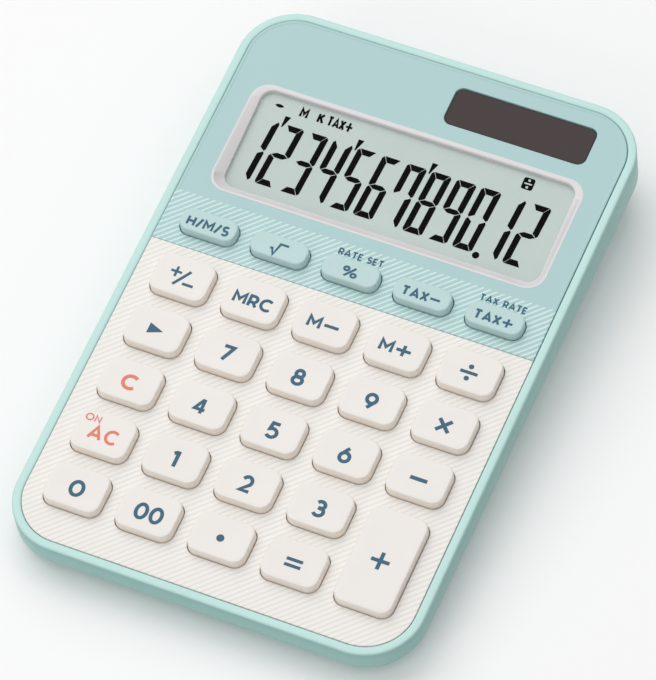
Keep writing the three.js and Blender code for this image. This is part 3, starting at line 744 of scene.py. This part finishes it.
def lcd_bezel():
    """The sloping surround of the display: flush with the panel outside, down to the window inside."""
    window_top = sheet_top("lcd_window")
    foot = raised(window_top, -0.8)
    outside = [(0.0, foot), (0.0, 0.01), (0.20, 0.01), (0.17, 0.04), (0.05, 0.06), (-0.40, 0.02)]
    inside = [(0.30, raised(window_top, 0.42)), (0.10, raised(window_top, 0.34)),
              (0.0, raised(window_top, 0.20)), (0.0, foot)]
    shape = Shape()
    levels = sections(BEZEL, outside) + sections(WINDOW, inside)
    rings = [shape.ring(points, height) for points, height in levels]
    shape.bands([*rings, rings[0]])
    on_case(piece("display_surround", shape, "bezel_plastic"), "lcd_bezel")


def lcd_window():
    window_top = sheet_top("lcd_window")
    profile = [(0.0, -0.5), *fillet(0.0, 0.0, 0.1, 2), (0.3, 0.0)]
    levels = [(-WINDOW_GAP - inset, raised(window_top, drop)) for inset, drop in profile]
    shape = Shape().loft(sections(WINDOW, levels))
    on_case(piece("display_window", shape, "window_plastic"), "lcd_window")


def solar_window():
    low, high = face_box("solar_window")
    profile = [(0.0, low.z), *fillet(0.0, high.z, 0.15, 3), (0.4, high.z)]
    shape = Shape().loft(sections(SOLAR, [(-inset, height) for inset, height in profile]))
    on_case(piece("solar_cover", shape, "solar_window"), "solar_window")


lcd_bezel()
lcd_window()
solar_window()

# Which of the seven bars each digit lights: top, upper right, lower right, bottom, lower left,
# upper left, middle.
LIT_BARS = {
    "0": "abcdef", "1": "bc", "2": "abged", "3": "abgcd", "4": "fgbc", "5": "afgcd",
    "6": "afgecd", "7": "abcf", "8": "abcdefg", "9": "abcdfg",
}
DIGITS = "123456789012"
DIGIT_WIDTH = 5.2
DIGIT_LENGTH = 17.3
DIGIT_FOOT = 31.6  # how far up the face the digits start
DIGIT_PITCH = 6.535
DIGITS_LEFT = -40.4  # left edge of the first digit
DIGIT_SLANT = 0.066
BAR = 1.58  # width of a digit's bars
BAR_GAP = 0.07
LCD_LIFT = 0.01  # of the digits' and signs' lower faces, above the glass
LCD_DEPTH = 0.03
POINT_PLACE = 10  # digits before the decimal point
APOSTROPHE_PLACES = (1, 4, 7)
APOSTROPHE = [(0.0, 16.3), (-0.25, 19.4), (1.25, 19.4), (0.3, 16.3)]

# The lit signs along the display's rear edge: the text, where it stands, its width and line weight.
SIGNS = (("M", -29.5, 2.2, 0.64), ("K", -25.0, 1.8, 0.60), ("TAX+", -19.9, 6.9, 0.56))
SIGN_Y = 53.25
SIGN_HEIGHT = 2.9
LENS_SIGN_X = -36.1
PLAQUE = {"x": 29.75, "y": SIGN_Y + 0.1}


def bar_outlines():
    """The seven bars of one digit, with mitred ends and thin gaps, before it is slanted."""
    right, top, middle = DIGIT_WIDTH, DIGIT_LENGTH, DIGIT_LENGTH / 2
    corner = 0.38 * BAR
    inner = right - BAR
    flat = [(corner, top), (right - corner, top), (inner - BAR_GAP, top - BAR), (BAR + BAR_GAP, top - BAR)]
    upper = [
        (right - corner + 2 * BAR_GAP, top - BAR_GAP), (right, top - corner), (right, middle + 0.6),
        (right - 0.35, middle + BAR_GAP), (inner, middle + BAR * 0.55 + BAR_GAP),
        (inner, top - BAR - BAR_GAP),
    ]
    centre = [
        (0.5, middle), (BAR, middle + BAR * 0.42), (inner, middle + BAR * 0.42),
        (right - 0.5, middle), (inner, middle - BAR * 0.42), (BAR, middle - BAR * 0.42),
    ]

    def mirrored(points):
        return [(right - x, y) for x, y in points]

    def flipped(points):
        return [(x, top - y) for x, y in points]

    return {
        "a": flat, "d": flipped(flat), "g": centre,
        "b": upper, "f": mirrored(upper), "c": flipped(upper), "e": flipped(mirrored(upper)),
    }


def add_bar(shape, points, x, level):
    """One lit bar as a thin closed solid on the display glass, slanted like the rest of the digit."""
    placed = [(x + px + py * DIGIT_SLANT, DIGIT_FOOT + py) for px, py in points]
    shape.prism(placed, level, raised(level, LCD_DEPTH))


def lcd_digits():
    """The twelve digits, with the decimal point and the apostrophes between thousands."""
    glass = sheet_top("lcd_glass", LCD_LIFT)
    bars = bar_outlines()
    shape = Shape()
    for place, digit in enumerate(DIGITS):
        for bar in LIT_BARS[digit]:
            add_bar(shape, bars[bar], DIGITS_LEFT + place * DIGIT_PITCH, glass)
    point = circle(0.9, DIGITS_LEFT + POINT_PLACE * DIGIT_PITCH, DIGIT_FOOT - 0.35, 20)
    shape.prism(point, glass, raised(glass, LCD_DEPTH))
    for place in APOSTROPHE_PLACES:
        add_bar(shape, APOSTROPHE, DIGITS_LEFT + place * DIGIT_PITCH - 0.75, glass)
    return shape


def lcd_signs():
    """The small signs along the display's rear edge."""
    low = sheet_top("lcd_glass", LCD_LIFT)
    high = sheet_top("lcd_glass", LCD_LIFT + LCD_DEPTH)
    shape = Shape()
    lens = arc(0, -0.55, 1.4, 1.0, 33, 147, 8) + arc(0, 0.55, 1.4, 1.0, 213, 327, 8)
    shape.prism([(LENS_SIGN_X + px, SIGN_Y - 0.1 + py) for px, py in lens], low, high)
    for text, x, width, weight in SIGNS:
        write(shape, text, x, SIGN_Y, width, SIGN_HEIGHT, weight, high, LCD_DEPTH)
    plaque = outline(2.9, 3.2, 0.5, **PLAQUE, steps=4)
    slot = outline(2.0, 0.42, 0.1, **PLAQUE, steps=2)
    dots = [circle(0.36, PLAQUE["x"], PLAQUE["y"] + side, 12) for side in (-0.95, 0.95)]
    rings = []
    for level in (low, high):
        rings.append([shape.ring(loop, level) for loop in (plaque, slot, *dots)])
        shape.fill(rings[-1][0], rings[-1][1:])
    for lower, upper in zip(*rings):
        shape.band(lower, upper)
    return shape


on_case(piece("lcd_digits", lcd_digits(), "lcd_ink"))
on_case(piece("lcd_signs", lcd_signs(), "lcd_ink"))


# ---- keys and their legends ----

KEY_TOP = 2.3
KEY_GAP = 0.2  # between a key and its opening
KEY_DRAFT = 0.12  # how much a key narrows towards its top
KEY_ROUNDING = 0.4
DISH = 0.07
FLANGE_THICKNESS = 0.7
INK_RISE = 0.012  # how far ink stands above what it is printed on
LEGEND_TOP = KEY_TOP + INK_RISE
LEGEND_SHIFT = -0.45  # legends stand a little in front of the keys' middles

# Each key's legend: the text, then its width, height and line weight, and how far it stands from the
# middle of the key.
LEGENDS = {
    "key_time": ("H/M/S", 11.1, 2.9, 0.59, 0.0, 0.0),
    "key_root": ("√", 4.8, 3.9, 0.56, 0.0, -0.3),
    "key_percent": ("%", 4.0, 3.1, 0.54, 0.0, 0.0),
    "key_tax_minus": ("TAX-", 10.2, 2.8, 0.58, -0.1, 0.0),
    "key_tax_plus": ("TAX+", 10.2, 2.8, 0.58, -0.1, 0.0),
    "key_memory_recall": ("MRC", 10.1, 3.6, 0.75, 0.0, 0.0),
    "key_memory_minus": ("M-", 8.4, 3.6, 0.77, -0.1, 0.0),
    "key_memory_plus": ("M+", 8.4, 3.6, 0.77, -0.1, 0.0),
    "key_clear": ("C", 4.0, 4.3, 0.87, 0.0, 0.0),
    "key_all_clear": ("AC", 7.5, 4.0, 0.71, 0.15, 0.0),
    "key_00": ("00", 7.3, 4.6, 0.88, 0.3, 0.0),
    "key_0": ("0", 3.9, 4.6, 0.90, 0.3, 0.1),
    "key_1": ("1", 2.0, 4.7, 0.92, -0.1, 0.0),
    "key_4": ("4", 3.4, 4.7, 0.78, 0.0, 0.0),
}
LEGENDS.update({f"key_{digit}": (digit, 3.3, 4.7, 0.88, 0.0, 0.0) for digit in "2356789"})
CORAL_KEYS = ("key_clear", "key_all_clear")


def flat_mark(shape, points):
    shape.prism(points, LEGEND_TOP - INK_DEPTH, LEGEND_TOP)


def bar_mark(shape, x, y, width, height, turn=0.0):
    """A straight bar with square ends, turned about its middle."""
    half = Vector((math.cos(turn), math.sin(turn))) * (width / 2)
    ends = [(x - half.x, y - half.y), (x + half.x, y + half.y)]
    stroke(shape, ends, height / 2, False, LEGEND_TOP, INK_DEPTH)


def cross_mark(shape, x, y, size, weight, turn):
    """A plus sign in one closed outline, turned about its middle."""
    long, short = size / 2, weight / 2
    points = []
    for quarter in range(4):
        angle = turn + math.pi / 2 * quarter
        points += [(x + px * math.cos(angle) - py * math.sin(angle),
                    y + px * math.sin(angle) + py * math.cos(angle))
                   for px, py in ((short, short), (short, long), (-short, long))]
    flat_mark(shape, points)


def dot_mark(shape, x, y, radius):
    flat_mark(shape, circle(radius, x, y, 24))


def key_marks(key, x, y):
    """A key's legend: written text, or a drawn arithmetic sign."""
    shape = Shape()
    y += LEGEND_SHIFT
    if key in LEGENDS:
        text, width, height, weight, shift_x, shift_y = LEGENDS[key]
        write(shape, text, x + shift_x, y + shift_y, width, height, weight, LEGEND_TOP)
    elif key == "key_plus":
        cross_mark(shape, x, y, 4.6, 0.92, 0.0)
    elif key == "key_multiply":
        cross_mark(shape, x, y, 4.5, 0.92, math.pi / 4)
    elif key == "key_minus":
        bar_mark(shape, x, y, 4.3, 0.95)
    elif key == "key_equals":
        for side in (-0.8, 0.8):
            bar_mark(shape, x, y + side, 4.1, 0.8)
    elif key == "key_divide":
        bar_mark(shape, x, y, 4.4, 0.8)
        for side in (-1.65, 1.65):
            dot_mark(shape, x, y + side, 0.64)
    elif key == "key_point":
        dot_mark(shape, x, y, 0.95)
    elif key == "key_sign":
        cross_mark(shape, x - 1.95, y + 1.3, 2.8, 0.6, 0.0)
        bar_mark(shape, x, y, 5.5, 0.7, math.radians(56))
        bar_mark(shape, x + 2.1, y - 1.45, 2.8, 0.7)
    elif key == "key_backspace":
        flat_mark(shape, [(x - 1.9, y - 1.45), (x + 1.9, y), (x - 1.9, y + 1.45)])
    return shape


def key_cap(opening):
    """A key: hidden flange, drafted sides, rounded top edge and a very shallow dish."""
    side = KEY_GAP + KEY_DRAFT
    low = face_box("key_equals")[0].z
    flange_top = low + FLANGE_THICKNESS
    levels = [(FLANGE_PROUD, low), (FLANGE_PROUD, flange_top), (-KEY_GAP, flange_top), (-KEY_GAP, -0.3)]
    levels += [(-inset, height) for inset, height in fillet(side, KEY_TOP, KEY_ROUNDING, 6)]
    reach = min(opening["width"], opening["length"]) / 2 - side - KEY_ROUNDING
    for share in (0.15, 0.35, 0.6, 0.85):
        depth = DISH * math.sin(share * math.pi / 2) ** 2
        levels.append((-side - KEY_ROUNDING - reach * share, KEY_TOP - depth))
    return Shape().loft(sections(opening, levels))


def make_key(key):
    opening = OPENINGS[key]
    finish = "mint_key" if key in PILLS else "cream_key"
    cap = piece(f"cap_{key[4:]}", key_cap(opening), finish)
    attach(cap, key)
    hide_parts(key)
    colour = "ink_coral" if key in CORAL_KEYS else "ink_blue"
    marks = piece(f"legend_{key[4:]}", key_marks(key, opening["x"], opening["y"]), colour)
    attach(marks, key)


for key in KEYS:
    make_key(key)


# ---- rubber mat: a sheet with domes under the keys ----

MAT_THICKNESS = 0.6
DOME_HEIGHT = 1.6
DOME_RADIUS = 4.0
DOME_SETS = {"key_plus": 2}  # a tall key stands on more than one dome


def rubber_sheet():
    box = face_box("rubber_keypad")
    top = box[1].z - DOME_HEIGHT
    levels = [(0.0, top - MAT_THICKNESS), (0.0, top - 0.1), (-0.1, top), (-0.5, top)]
    sheet = piece("rubber_sheet", Shape().loft(sections(plan_of(box, 2.0), levels)), "silicone")
    on_case(sheet, "rubber_keypad")


def rubber_dome(key):
    """The dome under a key, or both domes of a tall key: a thin sloping skirt below a flat crown."""
    opening = OPENINGS[key]
    count = DOME_SETS.get(key, 1)
    crown = face_box("rubber_keypad")[1].z
    foot = crown - DOME_HEIGHT
    radius = min(DOME_RADIUS, opening["length"] / 2 - KEY_GAP)
    skirt = [(0.0, foot - 0.05), (0.0, foot + 0.15), (0.25, foot + 0.35), (1.0, crown - 0.35)]
    top = [(1.2, crown - 0.08), (1.35, crown), (1.8, crown)]
    spacing = opening["length"] / count
    domes = Shape()
    for place in range(count):
        y = opening["y"] + spacing * (place - (count - 1) / 2)
        domes.spin([(radius - inset, height) for inset, height in skirt + top], opening["x"], y, 32)
    dome = piece(f"dome_{key[4:]}", domes, "silicone")
    on_case(dome)
    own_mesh(dome)


rubber_sheet()
for key in KEYS:
    rubber_dome(key)


# ---- small print ----

PRINT_Y = 19.3
PRINT_HEIGHT = 2.0


def small_print():
    """The words printed on the display panel, and the one on the all-clear key."""
    shape = Shape()
    write(shape, "RATE SET", 0.3, PRINT_Y, 11.8, PRINT_HEIGHT, 0.42, INK_RISE)
    write(shape, "TAX RATE", 37.3, PRINT_Y, 12.2, PRINT_HEIGHT, 0.42, INK_RISE)
    on_case(piece("panel_print", shape, "ink_blue"))
    key = OPENINGS["key_all_clear"]
    word = write(Shape(), "ON", key["x"] - 3.9, key["y"] + 3.05, 4.0, PRINT_HEIGHT, 0.36, LEGEND_TOP)
    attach(piece("legend_on", word, "ink_coral"), "key_all_clear")


small_print()


# ---- lower case, drawn with its flat underside ----

BASE_INSET = {"side": 3.5, "front": 3.0, "rear": 4.5}
PILLAR_RADIUS = 3.6
WELL_RADIUS = 2.6  # of the wells that the screw heads lie in
SCREW_HOLE = 1.35
CASE_SCREW_HEAD = 1.65  # depth of a case screw's head below its seat, with some air
RECESS_RADIUS = 4.3  # of the recess that a rubber foot is stuck in
RECESS_DEPTH = 0.8
COVER_CORNER = 3.0
COVER_SCREW_X = 10.0  # the lid's screw, to the right of the lid's middle
LID_ROUNDING = 0.25
SCREW_HEAD = 2.3  # radius of a screw's head
COVER_HEIGHT = 2.9  # of the housing over the lid
CELL_ROOM = 6.1  # radius of the button cell's pocket
CELL_FOOT = 1.0
CELL_TOP = 7.7
CUP_WIDTH = 16.0  # of the square cup that holds the pocket
LABEL = {"x": 0.0, "y": -10.0, "width": 52.0, "length": 30.0, "radius": 2.0}
SCREW_NODES = [name for name in frame["nodes"] if name.startswith("case_screw_")]
FOOT_NODES = [name for name in frame["nodes"] if name.startswith("rubber_foot_")]


def underside_matrix():
    """The underside's own frame: level, with z = 0 on the flat underside."""
    depth = (UNDERSIDE[0] + UNDERSIDE[1]) / 2
    return FACE @ Matrix.Translation((0, 0, depth * MM)) @ Matrix.Rotation(-SLOPE, 4, "X")


BASE = underside_matrix()
BASE_INVERSE = BASE.inverted()


def base_box(node):
    low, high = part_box(node)
    return (BASE_INVERSE @ low) / MM, (BASE_INVERSE @ high) / MM


def base_outline(part, extra):
    """The case's outline, drawn in by a part of the underside's inset and by something extra."""
    side, front, rear = (BASE_INSET[edge] * part + extra for edge in ("side", "front", "rear"))
    return outline(WIDTH - 2 * side, LENGTH - front - rear, CORNER - side, y=(front - rear) / 2,
                   steps=CASE_STEPS)


def tray():
    """The lower case's shell: flat underside, rounded edge, flared sides and an inner lip."""
    side = between(SIDE_FOOT)
    under = between(UNDERSIDE)
    levels = [(1, 2.0, under, 0.0), (1, 1.4, under, 0.0), (1, 0.75, under, 0.10), (1, 0.32, under, 0.32),
              (1, 0.10, under, 0.62), (1, 0.0, under, 1.0), (0, 0.6, side, -0.9), (0, 0.6, side, -0.36),
              (0, 0.72, side, -0.3), (0, 2.1, side, -0.3), (0, 2.1, side, 1.6), (0, 3.3, side, 1.6),
              (0, 3.3, side, -0.9), (1, 2.0, under, 1.6)]
    return Shape().loft([(base_outline(part, inset), raised(surface, height))
                         for part, inset, surface, height in levels])


def helper(shape, place=None):
    """A shape that is only there to be joined to another, or cut from it."""
    return piece("helper", shape, "case_plastic", place)


def column(radius, low, high, x, y, place=None):
    return helper(Shape().spin([(radius, low), (radius, high)], x, y, 40), place)


def screw_seats():
    """Where the case screws' heads lie against the lower case."""
    boxes = [face_box(node) for node in SCREW_NODES]
    return [(*centre(box), box[0].z + CASE_SCREW_HEAD) for box in boxes]


def case_posts(cover, cell, underside):
    """What stands up inside the lower case: screw pillars, battery housing, cell cup and lid boss."""
    posts = [column(PILLAR_RADIUS, underside(y) + 0.8, seat + 1.2, x, y) for x, y, seat in screw_seats()]
    housing = Shape().loft(sections(cover, [(1.5, 0.5), (1.5, COVER_HEIGHT)]))
    cup = Shape().prism(outline(CUP_WIDTH, CUP_WIDTH, 1.0, x=cell.x, y=cell.y), CELL_FOOT, 8.9)
    boss = column(3.0, 1.0, 7.0, cover["x"] + COVER_SCREW_X, cover["y"], BASE)
    return [*posts, helper(housing, BASE), helper(cup, BASE), boss]


def case_cutters(cover, cell, underside):
    """What is cut out of the lower case: screw wells, foot recesses, battery room and label field."""
    cutters = []
    for x, y, seat in screw_seats():
        cutters.append(column(WELL_RADIUS, underside(y) - 2, seat, x, y))
        cutters.append(column(SCREW_HOLE, seat - 1, 0, x, y))
    for node in FOOT_NODES:
        x, y = centre(base_box(node))
        cutters.append(column(RECESS_RADIUS, -1, RECESS_DEPTH, x, y, BASE))
    recess = sections(cover, [(0.6, -1.0), (0.6, -0.01), (0.3, 0.35), (0.3, 1.7)])
    cutters.append(helper(Shape().loft(recess), BASE))
    cutters.append(column(CELL_ROOM, CELL_FOOT, CELL_TOP, cell.x, cell.y, BASE))
    cutters.append(column(SCREW_HOLE, 1.0, 6.0, cover["x"] + COVER_SCREW_X, cover["y"], BASE))
    blank = sections(LABEL, [(0.15, -1.0), (0.15, 0.0), (0.0, 0.2)])
    cutters.append(helper(Shape().loft(blank), BASE))
    return cutters


def lower_case():
    shell = piece("case_bottom", tray(), "case_plastic")
    cover = plan_of(base_box("battery_cover"), COVER_CORNER)
    cell_low, cell_high = base_box("button_cell")
    rooms = (cover, (cell_low + cell_high) / 2, between(UNDERSIDE))
    posts = case_posts(*rooms)
    cutters = case_cutters(*rooms)
    combine(shell, posts, "UNION")
    combine(shell, cutters, "DIFFERENCE")
    finish_mesh(shell, "case_plastic")
    on_case(shell, "lower_case")


def battery_cover():
    """The screwed lid, with a rounded lower edge and three shallow grip lines."""
    box = base_box("battery_cover")
    top = box[1].z
    plan = plan_of(box, COVER_CORNER)
    x, y = plan["x"], plan["y"]
    edge = [(-inset, LID_ROUNDING * (1 - math.sin(math.acos(1 - inset / LID_ROUNDING))))
            for inset in (LID_ROUNDING, 0.12, 0.04, 0.0)]
    shape = Shape().loft(sections(plan, [(-0.5, 0.0), *edge, (0.0, top)]))
    lid = piece("battery_lid", shape, "case_plastic", BASE)
    cutters = [column(SCREW_HOLE, -1, 3, x + COVER_SCREW_X, y, BASE),
               column(WELL_RADIUS, -1, top - 0.6, x + COVER_SCREW_X, y, BASE)]
    for line in range(3):
        groove = outline(0.6, 8.0, 0.3, x=x - 11.5 + 1.4 * line, y=y, steps=3)
        cutters.append(helper(Shape().prism(groove, -1.0, 0.3), BASE))
    combine(lid, cutters, "DIFFERENCE")
    finish_mesh(lid, "case_plastic")
    on_case(lid, "battery_cover")


def rubber_foot(node):
    """A round foot with a rounded lower edge and a shallow ring moulded in its face."""
    box = base_box(node)
    foot, top = box[0].z, box[1].z
    profile = [(1.0, foot + 0.12), (2.3, foot + 0.12), (2.5, foot), (3.4, foot), (3.75, foot + 0.08),
               (3.94, foot + 0.27), (4.0, foot + 0.55), (4.0, top)]
    shape = Shape().spin(profile, *centre(box), 48)
    on_case(piece(f"foot_{node[12:]}", shape, "foot_rubber", BASE), node)


def screw(node, name, place, box, head_height):
    """A pan-head screw seen from below, with a cross recess."""
    foot, end = box[0].z, box[1].z
    x, y = centre(box)
    seat = foot + head_height
    tall = seat - foot
    head = [(0.8, 0.0), (SCREW_HEAD * 0.62, 0.04), (SCREW_HEAD * 0.85, 0.2), (SCREW_HEAD * 0.97, 0.5),
            (SCREW_HEAD, 0.8)]
    profile = [(radius, foot + tall * share) for radius, share in head]
    profile += [(SCREW_HEAD, seat - 0.05), (1.05, seat - 0.05), (1.05, end - 0.8), (0.2, end)]
    body = piece(name, Shape().spin(profile, x, y, 36), "screw_steel", place)
    slots = []
    for width, length in ((0.6, 2.6), (2.6, 0.6)):
        arm = outline(width, length, 0.12, x=x, y=y, steps=2)
        slots.append(helper(Shape().prism(arm, foot - 1, foot + tall * 0.55), place))
    combine(body, slots, "DIFFERENCE")
    finish_mesh(body, "screw_steel")
    on_case(body, node)


lower_case()
battery_cover()
for node in FOOT_NODES:
    rubber_foot(node)
for node in SCREW_NODES:
    screw(node, f"screw_{node[11:]}", FACE, face_box(node), 1.5)
screw("battery_cover_screw", "screw_battery", BASE, base_box("battery_cover_screw"), 0.75)


# ---- finishes of the CAD pieces that stay as they are ----

INNER_FINISHES = {
    "lcd_glass": "lcd", "lcd_holder": "white_plastic", "heat_seal_connector": "connector_film",
    "solar_cell": "solar_cell", "circuit_board": "board",
    "chip_cover": "epoxy", "button_cell": "cell_steel", "battery_contact_positive": "contact_steel",
    "battery_contact_negative": "contact_steel", "solar_lead_positive": "red_wire",
    "solar_lead_negative": "black_wire", "battery_lead_positive": "red_wire",
    "battery_lead_negative": "black_wire",
}
for node, finish in INNER_FINISHES.items():
    frame["nodes"][node].data.materials.clear()
    frame["nodes"][node].data.materials.append(MATERIALS[finish])


# ---- floor and light ----

FLOOR_HALF = 3.0
SKY_BRIGHTNESS = (0.12, 0.92)  # near the horizon, and overhead


def studio_floor():
    mesh = bpy.data.meshes.new("studio_floor")
    corners = [(x * FLOOR_HALF, y * FLOOR_HALF, 0) for x, y in ((-1, -1), (1, -1), (1, 1), (-1, 1))]
    mesh.from_pydata(corners, [], [(0, 1, 2, 3)])
    floor = place_object("studio_floor", mesh)
    nodes = Nodes()
    nodes.base(nodes.mix(nodes.noise(0.4), (0.94, 0.94, 0.94), (0.97, 0.97, 0.97)))
    nodes.set({"Roughness": 0.9, "Specular IOR Level": 0.0})
    mesh.materials.append(nodes.material)


def soft_light(name, place, size, power):
    """A large square light that faces the middle of the calculator."""
    light = bpy.data.lights.new(name, "AREA")
    light.size = size
    light.energy = power
    lamp = place_object(name, light)
    lamp.location = place
    lamp.rotation_euler = (-Vector(place)).to_track_quat("-Z", "Y").to_euler()


def studio():
    studio_floor()
    world = bpy.data.worlds.new("studio")
    bpy.context.scene.world = world
    world.use_nodes = True
    tree = world.node_tree
    upwards = tree.nodes.new("ShaderNodeSeparateXYZ")
    brightness = tree.nodes.new("ShaderNodeMapRange")
    brightness.inputs["To Min"].default_value = SKY_BRIGHTNESS[0]
    brightness.inputs["To Max"].default_value = SKY_BRIGHTNESS[1]
    tree.links.new(tree.nodes.new("ShaderNodeTexCoord").outputs["Generated"], upwards.inputs[0])
    tree.links.new(upwards.outputs["Z"], brightness.inputs["Value"])
    tree.links.new(brightness.outputs["Result"], tree.nodes["Background"].inputs["Strength"])
    tree.nodes["Background"].inputs["Color"].default_value = (1.0, 1.0, 1.0, 1.0)
    soft_light("key_light", (-1.1, 1.0, 1.9), 2.6, 29.6)
    soft_light("front_fill", (-0.5, -1.6, 0.65), 1.2, 4.5)
    bpy.context.scene.view_settings.view_transform = "Standard"


studio()
